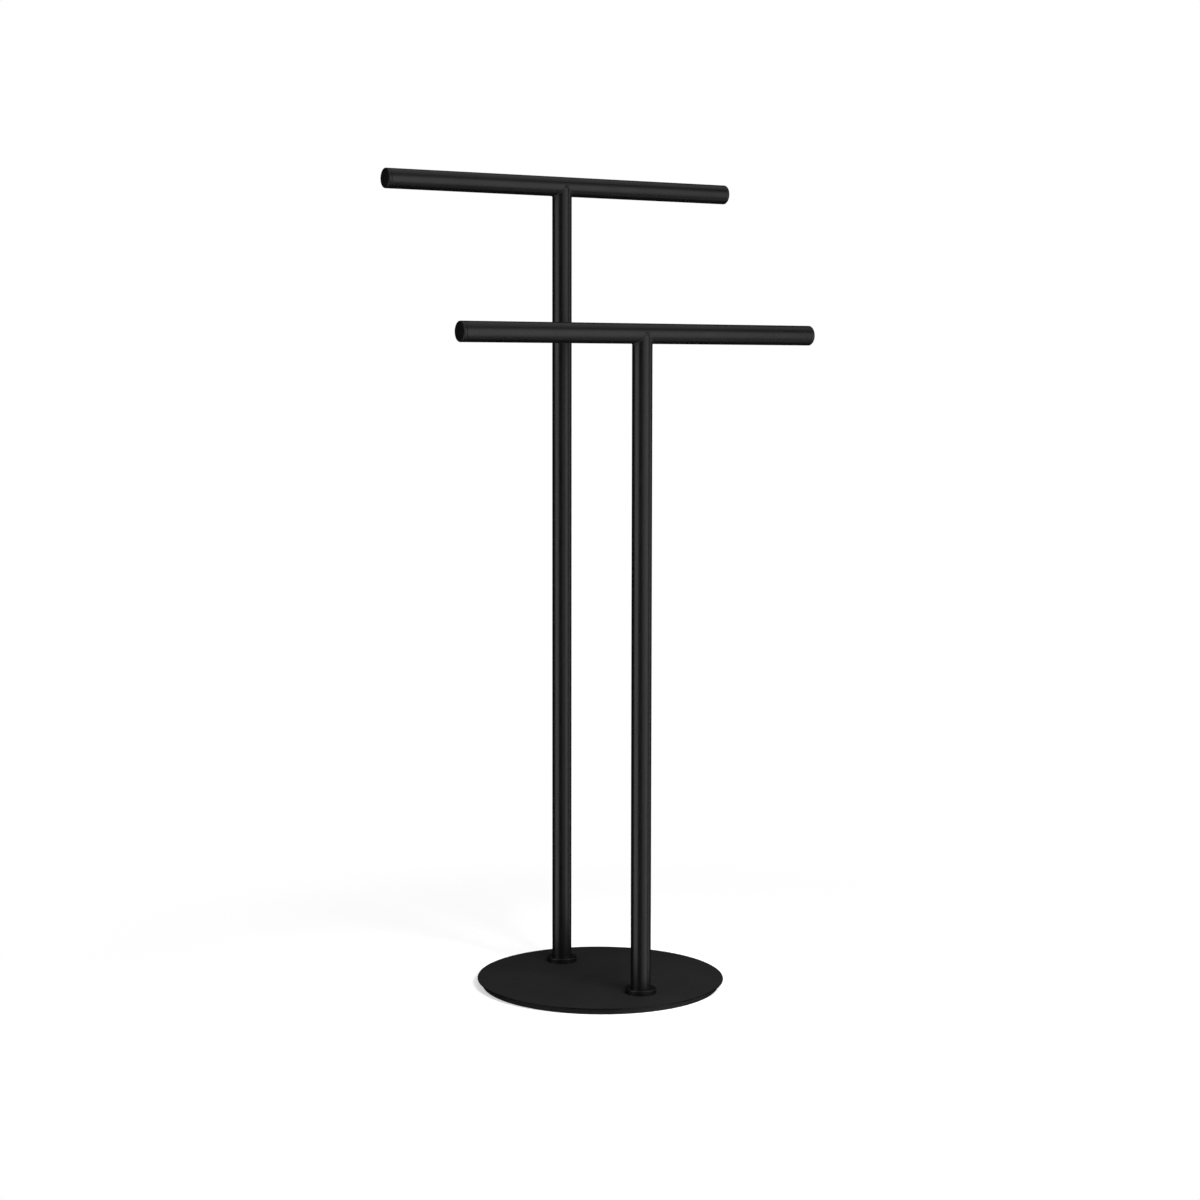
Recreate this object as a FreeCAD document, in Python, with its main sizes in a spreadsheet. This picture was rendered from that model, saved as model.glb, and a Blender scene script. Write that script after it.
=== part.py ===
import FreeCAD, Part
import Sketcher
import os

# Freestanding towel stand: a round base, and two T-shaped tube racks of unequal height, one behind
# the other. Millimetres. +Z is up, +X runs along the bars, the shorter T stands at the front (-Y),
# and the origin is on the floor under the middle of the base.

SIZES = {
    # Base: a thin cover that overhangs a heavy steel disc, on a rubber mat set in from its edge.
    "base_diameter": 250.0,
    "cover_overhang": 4.5,
    "cover_thickness": 1.0,
    "cover_edge_round": 0.35,
    "weight_thickness": 4.5,
    "weight_edge_round": 0.4,
    "mat_inset": 0.3,
    "mat_thickness": 1.5,
    "mat_edge_round": 0.3,
    "mat_screw_hole": 16.0,
    # Posts and bars: one stock of round tube. The setback is from the base's edge to a post's axis.
    "tube_diameter": 20.0,
    "tube_wall": 1.5,
    "post_setback": 50.0,
    "front_bar_height": 658.0,
    "rear_bar_height": 810.0,
    "bar_length": 406.0,
    # Collar round each post's foot.
    "collar_diameter": 31.0,
    "collar_height": 5.0,
    "collar_round": 0.8,
    # End caps: a head as wide as the tube, and a hollow barbed plug inside it. The bevel is on both
    # edges of the seam between head and tube.
    "cap_head": 3.5,
    "cap_round": 1.0,
    "seam_bevel": 0.2,
    "cap_plug": 15.0,
    "cap_wall": 2.0,
    "cap_barb_depth": 0.8,
    "cap_barb_pitch": 4.0,
    "cap_lead": 1.0,
    "cap_barbs": 3,
    # Threaded insert in each post's foot, its screw from below and the pin that stops it turning.
    "insert_length": 24.0,
    "insert_chamfer": 0.8,
    "screw_diameter": 6.0,
    "screw_length": 16.0,
    "screw_head_diameter": 12.0,
    "screw_tip": 0.8,
    "screw_key_width": 4.0,
    "screw_key_depth": 2.2,
    "thread_run_out": 4.0,
    "pin_diameter": 2.5,
    "pin_offset": 6.0,
    "pin_in_weight": 1.5,
    "pin_in_insert": 6.0,
    "pin_chamfer": 0.3,
    # Weld in each corner of a T: the leg of its fillet, and how far its ends stop short.
    "weld_leg": 1.2,
    "weld_end": 0.1,
    # Clearances, each on the radius or at the end of a fit.
    "collar_clearance": 0.1,
    "cap_clearance": 0.1,
    "insert_clearance": 0.05,
    "screw_clearance": 0.2,
    "thread_clearance": 0.05,
    "pin_clearance": 0.05,
    "joint_clearance": 0.02,
}

# Two places closer than this are the same place.
SAME_PLACE = 1e-4

doc = FreeCAD.newDocument("TowelStand")
sheet = doc.addObject("Spreadsheet::Sheet", "Sizes")
for row, (alias, number) in enumerate(SIZES.items(), start=1):
    sheet.set(f"A{row}", alias)
    sheet.set(f"B{row}", str(number))
    sheet.setAlias(f"B{row}", alias)
doc.recompute()

# Places and sizes that pieces share, as expressions of the sheet.
COVER_RADIUS = "(Sizes.base_diameter / 2)"
WEIGHT_RADIUS = f"({COVER_RADIUS} - Sizes.cover_overhang)"
MAT_RADIUS = f"({WEIGHT_RADIUS} - Sizes.mat_inset)"
POST_REACH = f"({COVER_RADIUS} - Sizes.post_setback)"
WEIGHT_BOTTOM = "Sizes.mat_thickness"
COVER_BOTTOM = f"({WEIGHT_BOTTOM} + Sizes.weight_thickness)"
BASE_TOP = f"({COVER_BOTTOM} + Sizes.cover_thickness)"
TUBE_RADIUS = "(Sizes.tube_diameter / 2)"
BORE_RADIUS = "(Sizes.tube_diameter / 2 - Sizes.tube_wall)"
INSERT_RADIUS = f"({BORE_RADIUS} - Sizes.insert_clearance)"
SCREW_RADIUS = "(Sizes.screw_diameter / 2)"
SCREW_HOLE_RADIUS = f"({SCREW_RADIUS} + Sizes.screw_clearance)"
SCREW_HEAD_RADIUS = "(Sizes.screw_head_diameter / 2)"
PIN_RADIUS = "(Sizes.pin_diameter / 2)"
PIN_HOLE_RADIUS = f"({PIN_RADIUS} + Sizes.pin_clearance)"
HALF_BAR_TUBE = "(Sizes.bar_length / 2 - Sizes.cap_head)"

# Each rack: the place of its post along Y, and the height of its bar's axis.
RACKS = {
    "front": (f"-{POST_REACH}", "Sizes.front_bar_height"),
    "rear": (POST_REACH, "Sizes.rear_bar_height"),
}


def value(expression):
    """The number that an expression of the sheet gives."""
    return float(sheet.evalExpression(expression))


def bind(item, expressions):
    """Tie properties of an object to expressions of the sheet."""
    for name, expression in expressions.items():
        item.setExpression(name, expression)


def place(item, x="0", y="0", z="0"):
    """Tie an object's place to expressions of the sheet."""
    bind(item, {"Placement.Base.x": x, "Placement.Base.y": y, "Placement.Base.z": z})


# ---- Sketches -------------------------------------------------------------------------------


def new_body(label):
    body = doc.addObject("PartDesign::Body", label)
    body.Label = label
    return body


def origin_plane(body, role):
    return next(item for item in body.Origin.OriginFeatures if item.Role == role)


def sketch_on(body, role, name, offset="0"):
    """A sketch on one of the body's own origin planes, moved off it along its normal."""
    sketch = body.newObject("Sketcher::SketchObject", name)
    sketch.AttachmentSupport = [(origin_plane(body, role), "")]
    sketch.MapMode = "FlatFace"
    bind(sketch, {"AttachmentOffset.Base.z": offset})
    return sketch


def dimension(sketch, kind, elements, expression):
    """Add a dimension to a sketch and tie it to an expression."""
    index = sketch.addConstraint(Sketcher.Constraint(kind, *elements, value(expression)))
    sketch.setExpression(f"Constraints[{index}]", expression)


def locate(sketch, geometry, point, x, y):
    """Hold a point of a sketch at expressions for x and y, or on an axis where one is zero."""
    origin, horizontal_axis, vertical_axis = (-1, 1), -1, -2
    if x == "0":
        sketch.addConstraint(Sketcher.Constraint("PointOnObject", geometry, point, vertical_axis))
    else:
        dimension(sketch, "DistanceX", (*origin, geometry, point), x)
    if y == "0":
        sketch.addConstraint(Sketcher.Constraint("PointOnObject", geometry, point, horizontal_axis))
    else:
        dimension(sketch, "DistanceY", (*origin, geometry, point), y)


def draw_circle(sketch, radius, x="0", y="0"):
    centre = FreeCAD.Vector(value(x), value(y), 0)
    up = FreeCAD.Vector(0, 0, 1)
    geometry = sketch.addGeometry(Part.Circle(centre, up, value(radius)), False)
    locate(sketch, geometry, 3, x, y)
    dimension(sketch, "Radius", (geometry,), radius)


def draw_outline(sketch, points):
    """A closed outline of straight lines through points, each a pair of expressions."""
    places = [FreeCAD.Vector(value(x), value(y), 0) for x, y in points]
    for start, end in zip(places, places[1:] + places[:1]):
        sketch.addGeometry(Part.LineSegment(start, end), False)
    for line, (x, y) in enumerate(points):
        line_before = (line - 1) % len(points)
        sketch.addConstraint(Sketcher.Constraint("Coincident", line_before, 2, line, 1))
        locate(sketch, line, 1, x, y)


# ---- Features -------------------------------------------------------------------------------


def pad(body, sketch, length, name):
    feature = body.newObject("PartDesign::Pad", name)
    feature.Profile = sketch
    bind(feature, {"Length": length})
    return feature


def pocket(body, sketch, depth, name, reverse=False, symmetric=False):
    """Cut a sketch's shape into the body, against the sketch's normal unless reversed."""
    feature = body.newObject("PartDesign::Pocket", name)
    feature.Profile = sketch
    feature.Reversed = reverse
    feature.Midplane = symmetric
    bind(feature, {"Length": depth})
    return feature


def turn(body, points, name="Turning"):
    """Turn a closed outline of radius and height about the body's own Z axis."""
    sketch = sketch_on(body, "XZ_Plane", f"{name}Outline")
    draw_outline(sketch, points)
    feature = body.newObject("PartDesign::Revolution", name)
    feature.Profile = sketch
    feature.ReferenceAxis = (sketch, ["V_Axis"])
    feature.Angle = 360
    return feature


def rims(feature, radius, height, along="z"):
    """Names of a feature's round edges of a radius whose centres lie at a height along an axis."""
    doc.recompute()
    names = []
    for index, edge in enumerate(feature.Shape.Edges, start=1):
        curve = edge.Curve
        if not isinstance(curve, Part.Circle):
            continue
        misses = (curve.Radius - value(radius), getattr(curve.Center, along) - value(height))
        if max(abs(miss) for miss in misses) < SAME_PLACE:
            names.append(f"Edge{index}")
    return names


def round_rims(body, feature, edges, radius, name):
    rounding = body.newObject("PartDesign::Fillet", name)
    rounding.Base = (feature, edges)
    bind(rounding, {"Radius": radius})
    return rounding


def bevel_rims(body, feature, edges, size, name):
    bevel = body.newObject("PartDesign::Chamfer", name)
    bevel.Base = (feature, edges)
    bind(bevel, {"Size": size})
    return bevel


# ---- Base -----------------------------------------------------------------------------------


def make_disc(label, radius, thickness, hole_radius):
    """A body of a flat disc with a hole under each post, and the feature that holds it so far."""
    body = new_body(label)
    disc = sketch_on(body, "XY_Plane", "Disc")
    draw_circle(disc, radius)
    pad(body, disc, thickness, "DiscPad")
    holes = sketch_on(body, "XY_Plane", "Holes")
    for post_y, _ in RACKS.values():
        draw_circle(holes, hole_radius, y=post_y)
    return body, pocket(body, holes, thickness, "HolesPocket", reverse=True)


def cut_pin_holes(body, thickness, depth):
    """Cut the hole of each locating pin down from the top of a disc."""
    holes = sketch_on(body, "XY_Plane", "PinHoles", offset=thickness)
    for post_y, _ in RACKS.values():
        draw_circle(holes, PIN_HOLE_RADIUS, y=f"{post_y} + Sizes.pin_offset")
    return pocket(body, holes, depth, "PinHolesPocket")


def make_base_cover():
    """Thin steel disc that covers the weight and overhangs it all round."""
    thickness = "Sizes.cover_thickness"
    body, _ = make_disc("base_cover", COVER_RADIUS, thickness, SCREW_HOLE_RADIUS)
    drilled = cut_pin_holes(body, thickness, thickness)
    edges = rims(drilled, COVER_RADIUS, thickness) + rims(drilled, COVER_RADIUS, "0")
    round_rims(body, drilled, edges, "Sizes.cover_edge_round", "EdgeRound")
    place(body, z=COVER_BOTTOM)
    return body


def make_base_weight():
    """Heavy steel disc with two holes countersunk from below and a blind hole for each pin."""
    thickness = "Sizes.weight_thickness"
    body, drilled = make_disc("base_weight", WEIGHT_RADIUS, thickness, SCREW_HOLE_RADIUS)
    countersink = f"{SCREW_HEAD_RADIUS} - {SCREW_RADIUS}"
    bevel_rims(body, drilled, rims(drilled, SCREW_HOLE_RADIUS, "0"), countersink, "Countersinks")
    pinned = cut_pin_holes(body, thickness, "Sizes.pin_in_weight")
    edges = rims(pinned, WEIGHT_RADIUS, thickness) + rims(pinned, WEIGHT_RADIUS, "0")
    round_rims(body, pinned, edges, "Sizes.weight_edge_round", "EdgeRound")
    place(body, z=WEIGHT_BOTTOM)
    return body


def make_non_slip_mat():
    """Rubber disc under the weight, open at each screw head."""
    hole_radius = "Sizes.mat_screw_hole / 2"
    body, mat = make_disc("non_slip_mat", MAT_RADIUS, "Sizes.mat_thickness", hole_radius)
    round_rims(body, mat, rims(mat, MAT_RADIUS, "0"), "Sizes.mat_edge_round", "EdgeRound")
    return body


# ---- Racks ----------------------------------------------------------------------------------


def make_collar(rack, post_y):
    """Turned ring on the base round the foot of a post."""
    body = new_body(f"{rack}_collar")
    inner = f"({TUBE_RADIUS} + Sizes.collar_clearance)"
    outer = "(Sizes.collar_diameter / 2)"
    height = "Sizes.collar_height"
    ring = turn(body, [(inner, "0"), (outer, "0"), (outer, height), (inner, height)])
    round_rims(body, ring, rims(ring, outer, height), "Sizes.collar_round", "CollarRound")
    place(body, y=post_y, z=BASE_TOP)
    return body


def make_post(rack, post_y, bar_height):
    """Upright tube from the base to its bar's axis, its top coped to the bar's round."""
    body = new_body(f"{rack}_post")
    length = f"({bar_height} - {BASE_TOP})"
    section = sketch_on(body, "XY_Plane", "PostSection")
    draw_circle(section, TUBE_RADIUS)
    draw_circle(section, BORE_RADIUS)
    pad(body, section, length, "PostPad")
    cope = sketch_on(body, "YZ_Plane", "Cope")
    draw_circle(cope, f"{TUBE_RADIUS} + Sizes.joint_clearance", y=length)
    pocket(body, cope, "2 * Sizes.tube_diameter", "CopePocket", symmetric=True)
    place(body, y=post_y, z=BASE_TOP)
    return body


def make_bar(rack, post_y, bar_height):
    """Level tube across the top of a post, shorter than the whole bar by its two cap heads."""
    body = new_body(f"{rack}_bar")
    section = sketch_on(body, "YZ_Plane", "BarSection")
    draw_circle(section, TUBE_RADIUS)
    draw_circle(section, BORE_RADIUS)
    tube = pad(body, section, f"2 * {HALF_BAR_TUBE}", "BarPad")
    tube.Midplane = True
    ends = rims(tube, TUBE_RADIUS, HALF_BAR_TUBE, "x") + rims(tube, TUBE_RADIUS, f"-{HALF_BAR_TUBE}", "x")
    bevel_rims(body, tube, ends, "Sizes.seam_bevel", "SeamBevel")
    place(body, y=post_y, z=bar_height)
    return body


def make_end_cap(rack, side, direction, post_y, bar_height):
    """Cap on one end of a bar: a rounded head against the tube and a hollow plug in its bore.

    The cap is turned about Z with its seat at height zero and its head above, then laid on its side.
    """
    body = new_body(f"{rack}_bar_{side}_cap")
    crest = f"({BORE_RADIUS} - Sizes.cap_clearance)"
    root = f"({crest} - Sizes.cap_barb_depth)"
    hollow = f"({root} - Sizes.cap_wall)"
    points = [("0", "Sizes.cap_head"), (TUBE_RADIUS, "Sizes.cap_head"), (TUBE_RADIUS, "0"), (root, "0")]
    for barb in range(1, int(value("Sizes.cap_barbs")) + 1):
        points.append((crest, f"-{barb - 1} * Sizes.cap_barb_pitch - Sizes.cap_lead"))
        points.append((root, f"-{barb} * Sizes.cap_barb_pitch"))
    points += [(root, "-Sizes.cap_plug"), (hollow, "-Sizes.cap_plug"), (hollow, "0"), ("0", "0")]
    head = turn(body, points)
    edge = rims(head, TUBE_RADIUS, "Sizes.cap_head")
    rounded = round_rims(body, head, edge, "Sizes.cap_round", "CapRound")
    bevel_rims(body, rounded, rims(rounded, TUBE_RADIUS, "0"), "Sizes.seam_bevel", "SeamBevel")
    sideways = FreeCAD.Rotation(FreeCAD.Vector(0, 1, 0), 90 * direction)
    body.Placement = FreeCAD.Placement(FreeCAD.Vector(), sideways)
    place(body, x=f"{direction} * {HALF_BAR_TUBE}", y=post_y, z=bar_height)
    return body


def make_weld(rack, side, turned_by, post_y, bar_height):
    """Fillet of weld in one corner of a T, fading out at the front and back of the tubes.

    Both tubes have one diameter, so they meet in a plane at 45 degrees, along an ellipse. The weld
    is what an elliptic rod, moved out of the corner by the weld's leg, leaves outside the tubes.
    """
    name = f"{rack}_{side}_weld"
    reach = "2 * Sizes.tube_diameter"
    rod_end = doc.addObject("Part::Ellipse", f"{name}_ellipse")
    bind(rod_end, {"MajorRadius": f"sqrt(2) * {TUBE_RADIUS}", "MinorRadius": TUBE_RADIUS})
    rod = doc.addObject("Part::Extrusion", f"{name}_rod")
    rod.Base = rod_end
    rod.DirMode = "Custom"
    rod.Dir = FreeCAD.Vector(0, 0, 1)
    rod.Solid = True
    rod.Symmetric = True
    bind(rod, {"LengthFwd": "2 * Sizes.weld_leg"})
    rod.Placement = FreeCAD.Placement(FreeCAD.Vector(), FreeCAD.Rotation(FreeCAD.Vector(0, 1, 0), 45))
    place(rod, x="Sizes.weld_leg * cos(45 deg)", z="-Sizes.weld_leg * cos(45 deg)")

    limit = doc.addObject("Part::Box", f"{name}_limit")
    width = "(Sizes.tube_diameter - 2 * Sizes.weld_end)"
    bind(limit, {"Length": reach, "Width": width, "Height": reach})
    place(limit, x="-Sizes.tube_diameter", y=f"-{width} / 2", z="-Sizes.tube_diameter")
    trimmed = doc.addObject("Part::Common", f"{name}_trimmed")
    trimmed.Base = rod
    trimmed.Tool = limit

    post_side = doc.addObject("Part::Cylinder", f"{name}_post_side")
    bind(post_side, {"Radius": f"{TUBE_RADIUS} + Sizes.joint_clearance", "Height": reach})
    place(post_side, z=f"-{reach}")
    bar_side = doc.addObject("Part::Cylinder", f"{name}_bar_side")
    bind(bar_side, {"Radius": f"{TUBE_RADIUS} + Sizes.joint_clearance", "Height": reach})
    along_x = FreeCAD.Rotation(FreeCAD.Vector(0, 1, 0), 90)
    bar_side.Placement = FreeCAD.Placement(FreeCAD.Vector(), along_x)
    place(bar_side, x="-Sizes.tube_diameter")

    beside_post = doc.addObject("Part::Cut", f"{name}_beside_post")
    beside_post.Base = trimmed
    beside_post.Tool = post_side
    weld = doc.addObject("Part::Cut", name)
    weld.Base = beside_post
    weld.Tool = bar_side
    weld.Placement = FreeCAD.Placement(
        FreeCAD.Vector(), FreeCAD.Rotation(FreeCAD.Vector(0, 0, 1), turned_by)
    )
    place(weld, y=post_y, z=bar_height)
    return weld


# ---- Fixing of a post to the base -----------------------------------------------------------


def make_insert(rack, post_y):
    """Threaded steel plug in the foot of a post, with a blind hole for the pin beside its thread."""
    body = new_body(f"{rack}_post_insert")
    length = "Sizes.insert_length"
    sketch = sketch_on(body, "XY_Plane", "InsertSection")
    draw_circle(sketch, INSERT_RADIUS)
    plug = pad(body, sketch, length, "InsertPad")
    bevel_rims(body, plug, rims(plug, INSERT_RADIUS, length), "Sizes.insert_chamfer", "InsertChamfer")
    thread = sketch_on(body, "XY_Plane", "ThreadHole")
    draw_circle(thread, f"{SCREW_RADIUS} + Sizes.thread_clearance")
    depth = f"Sizes.screw_length - ({BASE_TOP} - {WEIGHT_BOTTOM}) + Sizes.thread_run_out"
    pocket(body, thread, depth, "ThreadPocket", reverse=True)
    pin_hole = sketch_on(body, "XY_Plane", "InsertPinHole")
    draw_circle(pin_hole, PIN_HOLE_RADIUS, y="Sizes.pin_offset")
    depth = "Sizes.pin_in_insert + Sizes.pin_clearance"
    pocket(body, pin_hole, depth, "InsertPinPocket", reverse=True)
    place(body, y=post_y, z=BASE_TOP)
    return body


def make_screw(rack, post_y):
    """Countersunk screw, its head flush with the weight's underside, with a hexagonal socket."""
    body = new_body(f"{rack}_post_screw")
    cone = f"({SCREW_HEAD_RADIUS} - {SCREW_RADIUS})"
    length = "Sizes.screw_length"
    points = [
        ("0", "0"),
        (SCREW_HEAD_RADIUS, "0"),
        (SCREW_RADIUS, cone),
        (SCREW_RADIUS, f"{length} - Sizes.screw_tip"),
        (f"{SCREW_RADIUS} - Sizes.screw_tip", length),
        ("0", length),
    ]
    turn(body, points)
    socket = sketch_on(body, "XY_Plane", "Socket")
    reach = "Sizes.screw_key_width / sqrt(3)"
    corners = []
    for angle in range(30, 390, 60):
        corners.append((f"{reach} * cos({angle} deg)", f"{reach} * sin({angle} deg)"))
    draw_outline(socket, corners)
    pocket(body, socket, "Sizes.screw_key_depth", "SocketPocket", reverse=True)
    place(body, y=post_y, z=WEIGHT_BOTTOM)
    return body


def make_pin(rack, post_y):
    """Dowel from the weight through the cover into the insert, so that the T cannot turn."""
    body = new_body(f"{rack}_locating_pin")
    in_base = "(Sizes.pin_in_weight + Sizes.cover_thickness)"
    length = f"({in_base} + Sizes.pin_in_insert)"
    chamfer = "Sizes.pin_chamfer"
    points = [
        ("0", "0"),
        (f"{PIN_RADIUS} - {chamfer}", "0"),
        (PIN_RADIUS, chamfer),
        (PIN_RADIUS, f"{length} - {chamfer}"),
        (f"{PIN_RADIUS} - {chamfer}", length),
        ("0", length),
    ]
    turn(body, points)
    place(body, y=f"{post_y} + Sizes.pin_offset", z=f"{BASE_TOP} - {in_base}")
    return body


# ---- The whole stand ------------------------------------------------------------------------


def check_piece(piece):
    """Stop if a piece or one of its features failed, or if a cut removed nothing."""
    features = piece.Group if piece.TypeId == "PartDesign::Body" else piece.OutListRecursive
    for item in [piece, *features]:
        if {"Invalid", "Error"} & set(item.State):
            raise RuntimeError(f"{piece.Label}: {item.Label} is {item.State}")
    for item in features:
        if item.TypeId == "PartDesign::Pocket" and item.Shape.Volume > item.BaseFeature.Shape.Volume - 1e-3:
            raise RuntimeError(f"{piece.Label}: {item.Label} cuts nothing")
    if piece.Shape.isNull() or not piece.Shape.isValid() or not piece.Shape.Solids:
        raise RuntimeError(f"{piece.Label} has no valid solid")


pieces = [make_base_cover(), make_base_weight(), make_non_slip_mat()]
for rack, (post_y, bar_height) in RACKS.items():
    pieces += [
        make_collar(rack, post_y),
        make_post(rack, post_y, bar_height),
        make_bar(rack, post_y, bar_height),
        make_end_cap(rack, "left", -1, post_y, bar_height),
        make_end_cap(rack, "right", 1, post_y, bar_height),
        make_weld(rack, "left", 180, post_y, bar_height),
        make_weld(rack, "right", 0, post_y, bar_height),
        make_insert(rack, post_y),
        make_screw(rack, post_y),
        make_pin(rack, post_y),
    ]
doc.recompute()
for piece in pieces:
    check_piece(piece)

os.makedirs("parts", exist_ok=True)
for piece in pieces:
    piece.Shape.exportStep(f"parts/{piece.Label}.step")
    print(f"{piece.Label}: {len(piece.Shape.Solids)} solid, {piece.Shape.Volume:.1f} mm3")
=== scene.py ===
"""Looks of a freestanding towel stand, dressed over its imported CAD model.

Two T-shaped racks of black powder-coated round tube stand one behind the other on a round base.
Everything is in metres, in the frame of the CAD model: X along the bars, -Y to the front, Z up.
"""

import logging
import math
from dataclasses import dataclass, field
from enum import Enum

import bmesh
import bpy
from mathutils import Matrix, Vector


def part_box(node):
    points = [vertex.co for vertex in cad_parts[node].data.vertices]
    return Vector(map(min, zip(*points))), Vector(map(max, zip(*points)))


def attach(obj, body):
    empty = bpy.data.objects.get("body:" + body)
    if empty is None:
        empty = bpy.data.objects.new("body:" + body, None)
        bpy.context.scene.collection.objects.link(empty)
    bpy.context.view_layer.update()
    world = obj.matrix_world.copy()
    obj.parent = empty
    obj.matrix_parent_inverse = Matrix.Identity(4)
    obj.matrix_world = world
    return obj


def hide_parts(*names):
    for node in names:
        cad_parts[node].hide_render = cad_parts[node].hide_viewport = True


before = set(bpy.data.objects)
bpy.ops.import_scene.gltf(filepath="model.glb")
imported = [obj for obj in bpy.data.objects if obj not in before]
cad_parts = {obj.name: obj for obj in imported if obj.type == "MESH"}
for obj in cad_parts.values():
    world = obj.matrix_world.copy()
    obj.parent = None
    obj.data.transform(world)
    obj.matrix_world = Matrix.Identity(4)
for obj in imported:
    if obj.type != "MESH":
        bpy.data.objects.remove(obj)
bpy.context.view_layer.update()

BODY = "root"
MM = 0.001
WELD_DISTANCE = 1e-6
SAME_PLACE = 0.01 * MM
SMOOTH_BELOW = math.radians(32)
WHITE = (1.0, 1.0, 1.0, 1.0)
NOISE_MIDDLE = 0.5

# Sockets of a Mix node: the first ones mix numbers, and later ones mix colours.
MIX_AMOUNT = 0
MIX_NUMBERS = (2, 3)
MIX_NUMBER_OUT = 0
MIX_COLOURS = (6, 7)
MIX_COLOUR_OUT = 2

Tone = tuple[float, float, float]
Socket = bpy.types.NodeSocket

log = logging.getLogger("towel_stand")


class Slot(Enum):
    """Material slots of the record that new pieces take their finish from."""

    STEEL = "black_steel"
    CAP = "black_cap"
    RUBBER = "black_rubber"
    PLAIN = "plain_steel"


class Side(Enum):
    """Ends of a bar, seen from the front."""

    LEFT = "left"
    RIGHT = "right"

    @property
    def way(self) -> int:
        """Direction of this end along X."""
        return -1 if self is Side.LEFT else 1


# ---- Nodes ------------------------------------------------------------------------------------


def share_between(
    tree: bpy.types.NodeTree, value: Socket, start: float, end: float
) -> bpy.types.Node:
    """Adds a node that measures how far a value is on its way from a start to an end.

    Args:
        tree: node tree to add it to.
        value: the value.
        start: value where the result leaves 0.
        end: value where it reaches 1.

    Returns:
        The node, with the share as its Result.
    """
    node = tree.nodes.new("ShaderNodeMapRange")
    node.inputs["From Min"].default_value = start
    node.inputs["From Max"].default_value = end
    tree.links.new(value, node.inputs["Value"])
    return node


def combine(
    tree: bpy.types.NodeTree, operation: str, first: Socket, second: Socket | float
) -> Socket:
    """Works out one number from two.

    Args:
        tree: node tree to add it to.
        operation: operation of the Math node.
        first: first number.
        second: second number, as a constant or a socket.

    Returns:
        The result.
    """
    node = tree.nodes.new("ShaderNodeMath")
    node.operation = operation
    tree.links.new(first, node.inputs[0])
    if isinstance(second, Socket):
        tree.links.new(second, node.inputs[1])
    else:
        node.inputs[1].default_value = second
    return node.outputs[0]


def glowing(name: str, strength: float) -> tuple[bpy.types.Material, bpy.types.Node]:
    """Makes a material that glows evenly and isn't sampled as a lamp.

    Args:
        name: name of the material.
        strength: how bright it is.

    Returns:
        The material and its Emission node.
    """
    material = bpy.data.materials.new(name)
    material.use_nodes = True
    material.cycles.emission_sampling = "NONE"
    tree = material.node_tree
    tree.nodes.remove(tree.nodes["Principled BSDF"])
    glow = tree.nodes.new("ShaderNodeEmission")
    glow.inputs["Strength"].default_value = strength
    tree.links.new(glow.outputs["Emission"], tree.nodes["Material Output"].inputs["Surface"])
    return material, glow


# ---- Finishes ---------------------------------------------------------------------------------


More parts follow.
